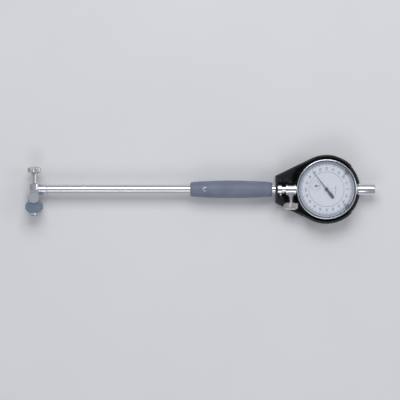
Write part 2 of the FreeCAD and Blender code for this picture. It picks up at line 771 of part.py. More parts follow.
def clamp_pad():
    start = NECK_R + SLEEVE_WALL + SLIP
    return below_clamp(ring_section(start, start + PAD_T, THUMB_R))


def clamp_screw():
    start = NECK_R + SLEEVE_WALL + SLIP + PAD_T + SLIP / 2
    shank = below_clamp(ring_section(start, THUMB_KNOB_TOP + 1.0, THUMB_R))
    end = THUMB_KNOB_TOP + THUMB_KNOB_T
    knob = below_clamp(edged_section(THUMB_KNOB_TOP, end, THUMB_KNOB_R, KNOB_EDGE))
    return shank.fuse(knob).removeSplitter()


# ------------------------------------------------------------------ guard
def guard_slope():
    """The angle at which the straight shoulder touches the round part."""
    reach = math.hypot(GUARD_END, GUARD_HALF_END)
    aim = math.atan2(GUARD_HALF_END, -GUARD_END)
    return math.pi / 2 + math.asin(GUARD_R / reach) - aim


def guard_outline(inset):
    """Half-round about the dial, with straight shoulders that close in on the neck."""
    radius = GUARD_R - inset
    slope = guard_slope()
    end = GUARD_END + inset
    half = (radius - end * math.cos(slope)) / math.sin(slope)
    touch = Vector(radius * math.cos(slope), radius * math.sin(slope), 0)
    touch_below = Vector(touch.x, -touch.y, 0)
    above = Vector(end, half, 0)
    below = Vector(end, -half, 0)
    edges = [
        Part.makeLine(below, above),
        Part.makeLine(above, touch),
        Part.Arc(touch, Vector(radius, 0, 0), touch_below).toShape(),
        Part.makeLine(touch_below, below),
    ]
    return Part.Face(Part.Wire(edges))


def wedge(half_angle, low, high):
    """What lies within an angle of +X, between two heights."""
    reach = 2 * GUARD_R
    side = reach * math.tan(math.radians(half_angle))
    return extruded([Vector(0, 0, low), Vector(reach, -side, low), Vector(reach, side, low)], high - low)


def guard():
    cup = guard_outline(0).extrude(Z_DIR * GUARD_TOP)
    hollow = guard_outline(GUARD_WALL).extrude(Z_DIR * GUARD_TOP)
    hollow.translate(Vector(0, 0, GUARD_PLATE))
    cuts = [
        hollow,
        wedge(CAP_OPENING, GUARD_LIP, GUARD_TOP),
        rod_x(GUARD_END, GUARD_END + GUARD_WALL, NECK_R),
        box_between(
            Vector(CLAMP_MIDDLE - THUMB_OPENING_HALF, -GUARD_R, GUARD_LIP),
            Vector(CLAMP_MIDDLE + THUMB_OPENING_HALF, -GUARD_HALF_END, GUARD_TOP),
        ),
    ]
    for angle in NOTCH_ANGLES:
        for side in (1, -1):
            notch = Part.makeBox(2 * GUARD_R, NOTCH_W, NOTCH_DEPTH)
            notch.translate(Vector(0, -NOTCH_W / 2, GUARD_TOP - NOTCH_DEPTH))
            notch.rotate(Vector(0, 0, 0), Z_DIR, side * angle)
            cuts.append(notch)
    return cup.cut(cuts)


def guard_nut():
    start = GUARD_END + GUARD_WALL
    return turned_x(edged_section(start, start + GUARD_NUT_T, GUARD_NUT_R, 0.5, NECK_R))


# ------------------------------------------------------------------ indicator
def indicator_body():
    shell = turned_z(
        [
            (COVER_TOP, BODY_BORE_R),
            (COVER_TOP, BODY_R),
            (FRONT_Z - FLANGE_T, BODY_R),
            (FRONT_Z - FLANGE_T, FLANGE_R),
            (FRONT_Z, FLANGE_R),
            (FRONT_Z, PLATE_SEAT_R),
            (PLATE_Z, PLATE_SEAT_R),
            (PLATE_Z, BODY_BORE_R),
        ]
    )
    start = BODY_BORE_R - 0.5
    boss = turned_x(
        [
            (start, 0),
            (start, CAP_BOSS_R),
            (CAP_START, CAP_BOSS_R),
            (CAP_START, CAP_SPIGOT_R),
            (CAP_START + CAP_SPIGOT_T, CAP_SPIGOT_R),
            (CAP_START + CAP_SPIGOT_T, 0),
        ]
    )
    boss = boss.cut(turned_z(ring_section(PLATE_Z, FRONT_Z, PLATE_SEAT_R)))
    holes = [
        rod_x(start, CAP_END, SPINDLE_R + RUN),
        rod_x(-BODY_R - 1.0, -BODY_BORE_R + 1.0, NECK_R),
    ]
    return shell.fuse(boss).removeSplitter().cut(holes)


def back_cover():
    cover = turned_z(
        [
            (COVER_BOTTOM, 0),
            (COVER_BOTTOM, BODY_R - 0.8),
            (COVER_BOTTOM + 0.8, BODY_R),
            (COVER_TOP, BODY_R),
            (COVER_TOP, 0),
        ]
    )
    return cover.cut(back_screws())


def back_screws():
    screws = []
    for quarter in range(4):
        turn = math.radians(45 + 90 * quarter)
        place = Vector(
            COVER_SCREW_CIRCLE * math.cos(turn), COVER_SCREW_CIRCLE * math.sin(turn), COVER_BOTTOM
        )
        screws.append(Part.makeCylinder(COVER_SCREW_R, COVER_SCREW_T, place, Z_DIR))
    return Part.makeCompound(screws)


def indicator_stem():
    shoulder = -BODY_R - STEM_BOSS_T + 0.2
    seat = -math.sqrt(BODY_R**2 - STEM_BOSS_R**2)
    inner_end = -PLATE_SEAT_R - SLIP
    stem = turned_x(
        [
            (STEM_START, SPINDLE_R + RUN),
            (STEM_START, NECK_R),
            (shoulder, NECK_R),
            (shoulder, STEM_BOSS_R),
            (seat, STEM_BOSS_R),
            (seat, NECK_R),
            (inner_end, NECK_R),
            (inner_end, SPINDLE_R + RUN),
        ]
    )
    round_wall = turned_z(ring_section(COVER_TOP, FRONT_Z, BODY_R, BODY_BORE_R))
    hole = rod_x(-BODY_R - 1.0, -BODY_BORE_R + 1.0, NECK_R)
    return stem.cut(round_wall.cut(hole))


def spindle_cap():
    end = CAP_END - CAP_TOP_T
    return turned_x(
        [
            (CAP_START, CAP_SPIGOT_R),
            (CAP_START, CAP_R - 0.4),
            (CAP_START + 0.4, CAP_R),
            (CAP_END - CAP_EDGE, CAP_R),
            (CAP_END, CAP_R - CAP_EDGE),
            (CAP_END, 0),
            (end, 0),
            (end, CAP_BORE_R),
            (CAP_START + CAP_SPIGOT_T, CAP_BORE_R),
            (CAP_START + CAP_SPIGOT_T, CAP_SPIGOT_R),
        ]
    )


def spindle_spring():
    start = Vector(CAP_END - CAP_TOP_T, 0, AXIS_Z)
    room = CAP_END - CAP_TOP_T - SPINDLE_END - STROKE - CLEAR
    pitch = (room - END_SPRING_WIRE) / END_SPRING_TURNS
    radius = CAP_BORE_R - CLEAR / 2 - END_SPRING_WIRE / 2
    return coil(radius, END_SPRING_WIRE, pitch, END_SPRING_TURNS, start, X_DIR * -1)


# ------------------------------------------------------------------ spindle and movement
def spindle():
    shaft = turned_x(
        [
            (SPINDLE_START, 0),
            (SPINDLE_START, SPINDLE_R),
            (SPINDLE_END - 0.3, SPINDLE_R),
            (SPINDLE_END, SPINDLE_R - 0.3),
            (SPINDLE_END, 0),
        ]
    )
    low = Vector(RACK_X - RACK_LENGTH / 2, -SPINDLE_R, AXIS_Z - RACK_FLAT / 2)
    flat = Part.makeBox(RACK_LENGTH, RACK_DEPTH, RACK_FLAT, low)
    return shaft.cut([flat, spindle_pin()])


def spindle_pin():
    """The pin that keeps the spindle from turning: it runs in a slot of the plate."""
    height = PLATE_Z + PLATE_T - SLIP - AXIS_Z
    return Part.makeCylinder(PIN_R, height, Vector(PIN_X, 0, AXIS_Z), Z_DIR)


def spindle_tip():
    return turned_x(
        [
            (SPINDLE_TIP_START, 0),
            (SPINDLE_TIP_START, SPINDLE_TIP_R - 0.4),
            (SPINDLE_TIP_START + 0.4, SPINDLE_TIP_R),
            (SPINDLE_START, SPINDLE_TIP_R),
            (SPINDLE_START, 0),
        ]
    )


def arbor(x, y, low, high, radius=ARBOR_R):
    return turned_z(ring_section(low, high, radius), x, y)


def pitch_r(teeth):
    return GEAR_MODULE * teeth / 2


def wheel(teeth, z, x, y):
    """A gear as a plain disc just inside its pitch line: its teeth are left out."""
    radius = pitch_r(teeth) - CLEAR / 2
    return turned_z(ring_section(z, z + GEAR_T, radius, ARBOR_R), x, y)


def rack_pinion():
    """The arbor with its pinion below the plate, beside the rack."""
    depth = RACK_FLAT / 2
    pinion = turned_z(
        ring_section(AXIS_Z - depth, AXIS_Z + depth, RACK_PINION_R - CLEAR / 2), RACK_X, RACK_Y
    )
    shaft = arbor(RACK_X, RACK_Y, COCK_Z, LOW_GEAR_Z + GEAR_T)
    return shaft.fuse(pinion).removeSplitter()


def pinion_cock():
    """The bracket under the plate that holds the lower end of the rack pinion's arbor."""
    low = Vector(RACK_X - COCK_HALF, RACK_Y - RACK_PINION_R - CLEAR - COCK_POST, COCK_Z)
    foot = Part.makeBox(2 * COCK_HALF, RACK_Y + ARBOR_R + 0.5 - low.y, PLATE_T, low)
    post = Part.makeBox(2 * COCK_HALF, COCK_POST, PLATE_Z - COCK_Z, low)
    hole = arbor(RACK_X, RACK_Y, COCK_Z, COCK_Z + PLATE_T, ARBOR_R + RUN)
    return foot.fuse(post).removeSplitter().cut(hole)


def rack_wheel():
    return wheel(RACK_WHEEL_TEETH, LOW_GEAR_Z, RACK_X, RACK_Y)


def counter_arbor():
    pinion_r = pitch_r(COUNTER_PINION_TEETH) - CLEAR / 2
    low = LOW_GEAR_Z - SLIP
    pinion = turned_z(ring_section(low, LOW_GEAR_Z + GEAR_T, pinion_r), COUNTER_X, COUNTER_Y)
    shaft = arbor(COUNTER_X, COUNTER_Y, PLATE_Z, COUNTER_POINTER_Z)
    return shaft.fuse(pinion).removeSplitter()


def counter_wheel():
    return wheel(COUNTER_WHEEL_TEETH, HIGH_GEAR_Z, COUNTER_X, COUNTER_Y)


def centre_arbor():
    pinion_r = pitch_r(CENTRE_TEETH) - CLEAR / 2
    pinion = turned_z(ring_section(HIGH_GEAR_Z, HIGH_GEAR_Z + GEAR_T, pinion_r))
    return arbor(0, 0, PLATE_Z, POINTER_Z).fuse(pinion).removeSplitter()


def take_up_arbor():
    """The arbor of the wheel that takes up the play between the teeth."""
    return arbor(-COUNTER_X, -COUNTER_Y, PLATE_Z, FRONT_Z - SLIP)


def take_up_wheel():
    return wheel(COUNTER_WHEEL_TEETH, HIGH_GEAR_Z, -COUNTER_X, -COUNTER_Y)


def movement_plate():
    plate = turned_z(ring_section(PLATE_Z, PLATE_Z + PLATE_T, PLATE_SEAT_R))
    rack_hole = arbor(RACK_X, RACK_Y, PLATE_Z, PLATE_Z + PLATE_T, ARBOR_R + RUN)
    return plate.cut(arbor_holes(PLATE_Z) + [rack_hole, pin_slot()])


def bridge_plate():
    plate = turned_z(ring_section(BRIDGE_PLATE_Z, FRONT_Z, PLATE_SEAT_R))
    return plate.cut(arbor_holes(BRIDGE_PLATE_Z))


def arbor_holes(low):
    """The holes that the three upper arbors share in both plates."""
    places = [(0, 0), (COUNTER_X, COUNTER_Y), (-COUNTER_X, -COUNTER_Y)]
    return [arbor(x, y, low, low + PLATE_T, ARBOR_R + RUN) for x, y in places]


def pin_slot():
    width = PIN_R + SLIP
    low = Vector(PIN_X - width, -width, PLATE_Z)
    return Part.makeBox(2 * width + STROKE, 2 * width, PLATE_T, low)


def pillars():
    posts = []
    for angle in PILLAR_ANGLES:
        turn = math.radians(angle)
        place = Vector(PILLAR_CIRCLE * math.cos(turn), PILLAR_CIRCLE * math.sin(turn), PLATE_Z + PLATE_T)
        posts.append(Part.makeCylinder(PILLAR_R, PLATE_SPACE, place, Z_DIR))
    return Part.makeCompound(posts)


# ------------------------------------------------------------------ face of the dial
def centre_plate():
    plate = turned_z(ring_section(FACE_Z, FACE_Z + FACE_T, CENTRE_PLATE_R, ARBOR_R + CLEAR))
    return plate.cut(arbor(COUNTER_X, COUNTER_Y, FACE_Z, FACE_Z + FACE_T, ARBOR_R + CLEAR))


def dial_ring():
    return turned_z(ring_section(RING_Z, RING_Z + FACE_T, BEZEL_BORE_R, RING_BORE_R))


def bezel():
    hook_r = (BODY_R + FLANGE_R) / 2 + 0.05
    hook_top = BEZEL_BOTTOM + BEZEL_HOOK_T
    return turned_z(
        [
            (BEZEL_BOTTOM, hook_r),
            (BEZEL_BOTTOM, BEZEL_R - BEZEL_EDGE),
            (BEZEL_BOTTOM + BEZEL_EDGE, BEZEL_R),
            (BEZEL_TOP - BEZEL_EDGE, BEZEL_R),
            (BEZEL_TOP, BEZEL_R - BEZEL_EDGE),
            (BEZEL_TOP, BEZEL_SEAT_R),
            (BEZEL_SEAT_Z, BEZEL_SEAT_R),
            (BEZEL_SEAT_Z, BEZEL_BORE_R),
            (hook_top, BEZEL_BORE_R),
            (hook_top, hook_r),
        ]
    )


def crystal():
    return turned_z(ring_section(BEZEL_SEAT_Z, BEZEL_SEAT_Z + CRYSTAL_T, CRYSTAL_R))


def crystal_gasket():
    section = ring_section(BEZEL_SEAT_Z, BEZEL_SEAT_Z + GASKET_T, BEZEL_SEAT_R, CRYSTAL_R)
    return turned_z(section)


def turned_to(shape, angle, x=0.0, y=0.0):
    shape.rotate(Vector(x, y, 0), Z_DIR, angle)
    return shape


def pointer():
    """A thin needle with a spade-shaped tail, on a round boss."""
    needle = [(0, -0.45), (POINTER_LONG, -0.12), (POINTER_LONG, 0.12), (0, 0.45)]
    tail = [
        (0, -0.5),
        (-POINTER_TAIL * 0.55, -TAIL_HALF),
        (-POINTER_TAIL, -TAIL_HALF * 0.8),
        (-POINTER_TAIL, TAIL_HALF * 0.8),
        (-POINTER_TAIL * 0.55, TAIL_HALF),
        (0, 0.5),
    ]
    blades = [extruded([Vector(x, y, POINTER_Z) for x, y in part], POINTER_T) for part in (needle, tail)]
    boss = turned_z(ring_section(POINTER_Z, POINTER_Z + 2 * POINTER_T, POINTER_BOSS_R))
    return turned_to(boss.fuse(blades).removeSplitter(), POINTER_ANGLE)


def counter_pointer():
    needle = [(0, -0.3), (COUNTER_POINTER_LONG, 0), (0, 0.3), (-1.2, 0.3), (-1.2, -0.3)]
    points = [Vector(COUNTER_X + x, COUNTER_Y + y, COUNTER_POINTER_Z) for x, y in needle]
    section = ring_section(COUNTER_POINTER_Z, COUNTER_POINTER_Z + POINTER_T, 0.8)
    blade = extruded(points, POINTER_T)
    return turned_z(section, COUNTER_X, COUNTER_Y).fuse(blade).removeSplitter()


def limit_marker(angle):
    """A thin band that slides inside the bezel, with a needle towards the centre."""
    outer = BEZEL_BORE_R - RUN
    inner = outer - MARKER_BAND
    band = turned_z(ring_section(MARKER_Z, MARKER_Z + MARKER_T, outer, inner))
    half = math.radians(MARKER_SPAN / 2)
    reach = 2 * outer
    span = [
        Vector(0, 0, MARKER_Z),
        Vector(reach, -reach * math.tan(half), MARKER_Z),
        Vector(reach, reach * math.tan(half), MARKER_Z),
    ]
    band = band.common(extruded(span, MARKER_T))
    needle = [(MARKER_TIP_R, -0.15), (inner + 0.4, -0.45), (inner + 0.4, 0.45), (MARKER_TIP_R, 0.15)]
    blade = extruded([Vector(x, y, MARKER_Z) for x, y in needle], MARKER_T)
    return turned_to(band.fuse(blade).removeSplitter(), angle)


def limit_marker_upper():
    return limit_marker(MARKER_ANGLES[0])


def limit_marker_lower():
    return limit_marker(MARKER_ANGLES[1])


PIECES = (
    head_body,
    crank_pin,
    bell_crank,
    plunger_bush,
    contact_plunger,
    contact_tip,
    anvil_washer,
    anvil_screw,
    head_collar,
    centring_guide,
    guide_screws,
    guide_springs,
    stem_tube,
    tube_set_screw,
    rod_bush_front,
    rod_bush_middle,
    rod_bush_rear,
    push_rod_tip,
    push_rod,
    push_rod_cap,
    rod_collar,
    rod_spring,
    handle_grip,
    neck_tube,
    clamp_body,
    split_sleeve,
    clamp_pad,
    clamp_screw,
    guard,
    guard_nut,
    indicator_body,
    back_cover,
    back_screws,
    indicator_stem,
    spindle_cap,
    spindle_spring,
    spindle,
    spindle_pin,
    spindle_tip,
    rack_pinion,
    pinion_cock,
    rack_wheel,
    counter_arbor,
    counter_wheel,
    centre_arbor,
    take_up_arbor,
    take_up_wheel,
    movement_plate,
    bridge_plate,
    pillars,
    centre_plate,
    dial_ring,
    bezel,
    crystal,
    crystal_gasket,
    pointer,
    counter_pointer,
    limit_marker_upper,
    limit_marker_lower,
)

os.makedirs("parts", exist_ok=True)
for piece in PIECES:
    shape = piece()
    shape.exportStep("parts/" + piece.__name__ + ".step")
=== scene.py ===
"""Looks of a dial bore gauge that lies on its back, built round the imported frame. Metres."""

import logging
import math
from dataclasses import dataclass, field
from enum import Enum

import bmesh
import bpy
from mathutils import Matrix, Vector

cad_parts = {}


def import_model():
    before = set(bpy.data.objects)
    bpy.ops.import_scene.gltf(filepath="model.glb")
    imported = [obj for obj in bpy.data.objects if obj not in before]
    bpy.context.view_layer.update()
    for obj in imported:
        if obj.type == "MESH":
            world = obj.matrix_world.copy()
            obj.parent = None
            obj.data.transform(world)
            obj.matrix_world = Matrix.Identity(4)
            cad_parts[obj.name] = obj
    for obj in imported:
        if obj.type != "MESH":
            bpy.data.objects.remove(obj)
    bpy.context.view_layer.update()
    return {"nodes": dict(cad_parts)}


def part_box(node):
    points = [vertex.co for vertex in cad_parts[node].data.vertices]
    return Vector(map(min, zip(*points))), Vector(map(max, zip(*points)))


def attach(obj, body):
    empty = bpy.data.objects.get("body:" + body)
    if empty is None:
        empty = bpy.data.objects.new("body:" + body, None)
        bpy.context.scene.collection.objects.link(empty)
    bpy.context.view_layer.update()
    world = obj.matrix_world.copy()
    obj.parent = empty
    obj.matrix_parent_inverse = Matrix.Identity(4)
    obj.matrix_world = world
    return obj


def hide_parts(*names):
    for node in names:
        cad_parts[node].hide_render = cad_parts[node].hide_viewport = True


LOG = logging.getLogger("bore_gauge")
MM = 0.001
FULL_TURN = 2 * math.pi
SMOOTH_ANGLE = math.radians(32)

Section = list[tuple[float, float]]


class Body(Enum):
    """The moving groups of the gauge that new pieces ride on."""

    FRAME = "frame"
    CONTACT = "contact"
    ANVIL = "anvil_screw_body"
    CLAMP = "clamp_screw_body"
    BEZEL = "bezel_group"


class Axis(Enum):
    """The direction that a turned piece is turned round."""

    X = (1.0, 0.0, 0.0)
    Y = (0.0, 1.0, 0.0)
    Z = (0.0, 0.0, 1.0)


# ------------------------------------------------------------------ shared node groups
def new_group(
    name: str, inputs: dict[str, tuple[str, object]], outputs: dict[str, str]
) -> bpy.types.NodeTree:
    """Start a shader node group with named sockets.

    Args:
        name: Name of the group.
        inputs: Socket name to its type and default value.
        outputs: Socket name to its type.

    Returns:
        The group, with its input and output nodes called "in" and "out".
    """
    group = bpy.data.node_groups.new(name, "ShaderNodeTree")
    for label, (kind, value) in inputs.items():
        socket = group.interface.new_socket(name=label, in_out="INPUT", socket_type=kind)
        if value is not None:
            socket.default_value = value
    for label, kind in outputs.items():
        group.interface.new_socket(name=label, in_out="OUTPUT", socket_type=kind)
    group.nodes.new("NodeGroupInput").name = "in"
    group.nodes.new("NodeGroupOutput").name = "out"
    return group


def wear_group() -> bpy.types.NodeTree:
    """Build the group that mottles a surface: two colours, two roughness levels and a grain height.

    Returns:
        The group, placed in every material of the gauge.
    """
    group = new_group(
        "worn_surface",
        {
            "Vector": ("NodeSocketVector", None),
            "Colour": ("NodeSocketColor", (0.5, 0.5, 0.5, 1.0)),
            "Worn Colour": ("NodeSocketColor", (0.4, 0.4, 0.4, 1.0)),
            "Roughness": ("NodeSocketFloat", 0.3),
            "Worn Roughness": ("NodeSocketFloat", 0.5),
            "Patch Scale": ("NodeSocketFloat", 120.0),
            "Grain Scale": ("NodeSocketFloat", 3000.0),
            "Grain Amount": ("NodeSocketFloat", 0.1),
        },
        {"Colour": "NodeSocketColor", "Roughness": "NodeSocketFloat", "Height": "NodeSocketFloat"},
    )
    nodes, links = group.nodes, group.links
    source, target = nodes["in"], nodes["out"]
    patches = nodes.new("ShaderNodeTexNoise")
    patches.inputs["Detail"].default_value = 4.0
    grain = nodes.new("ShaderNodeTexNoise")
    grain.inputs["Detail"].default_value = 2.0
    both = nodes.new("ShaderNodeMath")
    both.operation = "MULTIPLY_ADD"
    mask = nodes.new("ShaderNodeMapRange")
    mask.inputs["From Min"].default_value = 0.35
    mask.inputs["From Max"].default_value = 0.75
    colour = nodes.new("ShaderNodeMix")
    colour.data_type = "RGBA"
    rough = nodes.new("ShaderNodeMix")
    for noise, scale in ((patches, "Patch Scale"), (grain, "Grain Scale")):
        links.new(source.outputs["Vector"], noise.inputs["Vector"])
        links.new(source.outputs[scale], noise.inputs["Scale"])
    links.new(grain.outputs["Fac"], both.inputs[0])
    links.new(source.outputs["Grain Amount"], both.inputs[1])
    links.new(patches.outputs["Fac"], both.inputs[2])
    links.new(both.outputs[0], mask.inputs["Value"])
    links.new(mask.outputs["Result"], colour.inputs["Factor"])
    links.new(mask.outputs["Result"], rough.inputs["Factor"])
    links.new(source.outputs["Colour"], colour.inputs["A"])
    links.new(source.outputs["Worn Colour"], colour.inputs["B"])
    links.new(source.outputs["Roughness"], rough.inputs["A"])
    links.new(source.outputs["Worn Roughness"], rough.inputs["B"])
    links.new(colour.outputs["Result"], target.inputs["Colour"])
    links.new(rough.outputs["Result"], target.inputs["Roughness"])
    links.new(grain.outputs["Fac"], target.inputs["Height"])
    return group


@dataclass(frozen=True)
class Finish:
    """One finish of the gauge: its colours, gloss, grain and shader constants."""

    name: str
    colour: tuple[float, float, float]
    worn: tuple[float, float, float]
    metallic: float = 0.0
    roughness: float = 0.4
    worn_roughness: float = 0.5
    patch_scale: float = 90.0
    grain_scale: float = 2500.0
    grain_amount: float = 0.15
    stretch: tuple[float, float, float] = (1.0, 1.0, 1.0)
    bump: float = 0.1
    coat: float = 0.0
    alpha: float = 1.0

    def material(self, wear: bpy.types.NodeTree) -> bpy.types.Material:
        """Build the material of this finish.

        Args:
            wear: The shared group that mottles a surface.

        Returns:
            A new node material.
        """
        made = bpy.data.materials.new(self.name)
        made.use_nodes = True
        nodes, links = made.node_tree.nodes, made.node_tree.links
        shader = nodes["Principled BSDF"]
        shader.inputs["Metallic"].default_value = self.metallic
        shader.inputs["Coat Weight"].default_value = self.coat
        shader.inputs["Coat Roughness"].default_value = 0.06
        shader.inputs["Alpha"].default_value = self.alpha
        place = nodes.new("ShaderNodeTexCoord")
        mapping = nodes.new("ShaderNodeMapping")
        mapping.inputs["Scale"].default_value = self.stretch
        worn = nodes.new("ShaderNodeGroup")
        worn.node_tree = wear
        worn.inputs["Colour"].default_value = (*self.colour, 1.0)
        worn.inputs["Worn Colour"].default_value = (*self.worn, 1.0)
        worn.inputs["Roughness"].default_value = self.roughness
        worn.inputs["Worn Roughness"].default_value = self.worn_roughness
        worn.inputs["Patch Scale"].default_value = self.patch_scale
        worn.inputs["Grain Scale"].default_value = self.grain_scale
        worn.inputs["Grain Amount"].default_value = self.grain_amount
        bump = nodes.new("ShaderNodeBump")
        bump.inputs["Strength"].default_value = self.bump
        bump.inputs["Distance"].default_value = 0.05 * MM
        links.new(place.outputs["Object"], mapping.inputs["Vector"])
        links.new(mapping.outputs["Vector"], worn.inputs["Vector"])
        links.new(worn.outputs["Colour"], shader.inputs["Base Color"])
        links.new(worn.outputs["Roughness"], shader.inputs["Roughness"])
        links.new(worn.outputs["Height"], bump.inputs["Height"])
        links.new(bump.outputs["Normal"], shader.inputs["Normal"])
        return made


TURNED = (0.12, 1.0, 1.0)  # grain drawn out along the tube
SATIN = Finish(
    "satin_steel", (0.74, 0.75, 0.79), (0.66, 0.67, 0.72), 1.0, 0.24, 0.34, stretch=TURNED, bump=0.12
)
BLUED = Finish(
    "blued_steel", (0.36, 0.43, 0.52), (0.24, 0.29, 0.37), 1.0, 0.26, 0.4, grain_scale=3500.0, bump=0.2
)
CHROME = Finish("chrome", (0.84, 0.85, 0.88), (0.78, 0.79, 0.84), 1.0, 0.07, 0.14, bump=0.02)
NICKEL = Finish("nickel", (0.80, 0.79, 0.76), (0.62, 0.61, 0.58), 1.0, 0.22, 0.38, bump=0.1)
GRIP = Finish(
    "grip_plastic", (0.20, 0.235, 0.31), (0.17, 0.20, 0.27), 0.0, 0.46, 0.58, grain_scale=4200.0, bump=0.45
)
BLACK = Finish(
    "black_plastic", (0.008, 0.008, 0.010), (0.016, 0.016, 0.019), 0.0, 0.16, 0.28, bump=0.08, coat=0.5
)
METAL = Finish("body_metal", (0.62, 0.63, 0.66), (0.50, 0.51, 0.54), 1.0, 0.35, 0.5, bump=0.15)
BRASS = Finish("brass", (0.78, 0.60, 0.30), (0.60, 0.43, 0.20), 1.0, 0.25, 0.42, bump=0.1)
SPRING = Finish("spring_steel", (0.55, 0.56, 0.58), (0.42, 0.42, 0.44), 1.0, 0.28, 0.42, bump=0.05)
TOOL = Finish("tool_steel", (0.60, 0.61, 0.64), (0.50, 0.51, 0.55), 1.0, 0.2, 0.32, bump=0.08)
FACE = Finish("white_face", (0.80, 0.84, 0.90), (0.77, 0.81, 0.88), 0.0, 0.42, 0.5, bump=0.05)
INK = Finish("print_ink", (0.035, 0.05, 0.09), (0.05, 0.065, 0.11), 0.0, 0.5, 0.6, bump=0.02)
HAND = Finish("black_hand", (0.012, 0.014, 0.02), (0.03, 0.032, 0.04), 0.0, 0.3, 0.42, bump=0.03)
MARKER = Finish("marker_paint", (0.05, 0.06, 0.08), (0.07, 0.08, 0.11), 0.0, 0.4, 0.5, bump=0.05)
# Black seal round the window. Its black also paints the shade in the groove between the window and the bezel
# lip.
SEAL_AND_SHADE = Finish("seal_rubber", (0.03, 0.035, 0.05), (0.045, 0.05, 0.07), 0.0, 0.55, 0.7, bump=0.1)
# Painted shade: a darker blue-grey ring on the white dial's rim, under the window's edge and the bezel.
RIM_SHADE = Finish("painted_rim_shade", (0.46, 0.53, 0.64), (0.42, 0.49, 0.60), 0.0, 0.4, 0.5, bump=0.03)
WINDOW = Finish("window", (0.9, 0.94, 1.0), (0.88, 0.92, 0.99), 0.0, 0.04, 0.06, bump=0.0, alpha=0.06)
FLOOR = Finish("floor", (0.86, 0.86, 0.87), (0.84, 0.84, 0.855), 0.0, 0.75, 0.85, 8.0, 400.0, bump=0.02)

NODE_FINISHES: dict[Finish, tuple[str, ...]] = {
    SATIN: (
        "head_body", "head_collar", "stem_tube", "tube_set_screw", "anvil_washer", "guide_screws",
        "indicator_stem", "push_rod_cap", "contact_tip",
    ),
    BLUED: ("centring_guide",),
    CHROME: ("neck_tube", "spindle_cap", "bezel", "clamp_body", "guard_nut", "contact_plunger"),
    NICKEL: ("anvil_screw", "clamp_screw", "back_screws"),
    GRIP: ("handle_grip",),
    BLACK: ("guard",),
    METAL: ("indicator_body", "back_cover", "push_rod"),
    BRASS: (
        "plunger_bush", "rod_bush_front", "rod_bush_middle", "rod_bush_rear", "rod_collar", "clamp_pad",
        "rack_wheel", "counter_wheel", "take_up_wheel", "movement_plate", "bridge_plate", "pillars",
        "pinion_cock",
    ),
    SPRING: ("guide_springs", "rod_spring", "spindle_spring"),
    TOOL: (
        "crank_pin", "bell_crank", "push_rod_tip", "spindle", "spindle_pin", "spindle_tip",
        "rack_pinion", "counter_arbor", "centre_arbor", "take_up_arbor", "split_sleeve",
    ),
    FACE: ("centre_plate", "dial_ring"),
    HAND: ("pointer", "counter_pointer"),
    MARKER: ("limit_marker_upper", "limit_marker_lower"),
    SEAL_AND_SHADE: ("crystal_gasket",),
    WINDOW: ("crystal",),
}


class Wardrobe:
    """Keeps one material for each finish and puts them on objects."""

    def __init__(self) -> None:
        """Start with the shared group and no materials."""
        self.wear = wear_group()
        self.made: dict[str, bpy.types.Material] = {}

    def dress(self, obj: bpy.types.Object, finish: Finish) -> None:
        """Give an object a finish as its only material.

        Args:
            obj: The object to dress.
            finish: The finish it gets.
        """
        if finish.name not in self.made:
            self.made[finish.name] = finish.material(self.wear)
        obj.data.materials.clear()
        obj.data.materials.append(self.made[finish.name])

    def dress_nodes(self, nodes: dict[str, bpy.types.Object]) -> None:
        """Dress every carried-over solid.

        Args:
            nodes: The frame's nodes by name.
        """
        for finish, names in NODE_FINISHES.items():
            for name in names:
                self.dress(nodes[name], finish)
        left = set(nodes) - {name for names in NODE_FINISHES.values() for name in names}
        for name in sorted(left):
            LOG.warning("%s has no finish of its own", name)
            self.dress(nodes[name], METAL)


# ------------------------------------------------------------------ ways of making a mesh
def wire(mesh: bmesh.types.BMesh, points: list[Vector], closed: bool) -> list[bmesh.types.BMEdge]:
    """Draw a chain of edges through points.

    Args:
        mesh: The mesh to draw in.
        points: The chain's points in order.
        closed: Whether the last point joins the first.

    Returns:
        The chain's edges.
    """
    verts = [mesh.verts.new(point) for point in points]
    pairs = list(zip(verts, verts[1:] + verts[:1])) if closed else list(zip(verts, verts[1:]))
    return [mesh.edges.new(pair) for pair in pairs]


def turned(section: Section, centre: Vector, axis: Axis, steps: int = 96) -> bmesh.types.BMesh:
    """Turn a section round an axis.

    Args:
        section: Pairs of distance along the axis and radius, in millimetres. It is closed by itself
            unless both its ends lie on the axis.
        centre: A point on the axis, in metres.
        axis: The direction of the axis.
        steps: Facets in a full turn.

    Returns:
        The turned mesh.
    """
    along = Vector(axis.value)
    across = Vector((0.0, 0.0, 1.0)) if axis is not Axis.Z else Vector((1.0, 0.0, 0.0))
    points = [centre + along * (a * MM) + across * (r * MM) for a, r in section]
    closed = section[0][1] > 0 or section[-1][1] > 0
    mesh = bmesh.new()
    wire(mesh, points, closed)
    bmesh.ops.spin(
        mesh, geom=mesh.verts[:] + mesh.edges[:], cent=centre, axis=along, angle=FULL_TURN,
        steps=steps, use_merge=True,
    )
    return cleaned(mesh)


def cleaned(mesh: bmesh.types.BMesh) -> bmesh.types.BMesh:
    """Merge doubles and turn the faces outwards.

    Args:
        mesh: The mesh to clean.

    Returns:
        The same mesh.
    """
    bmesh.ops.remove_doubles(mesh, verts=mesh.verts[:], dist=1e-6)
    bmesh.ops.recalc_face_normals(mesh, faces=mesh.faces[:])
    return mesh


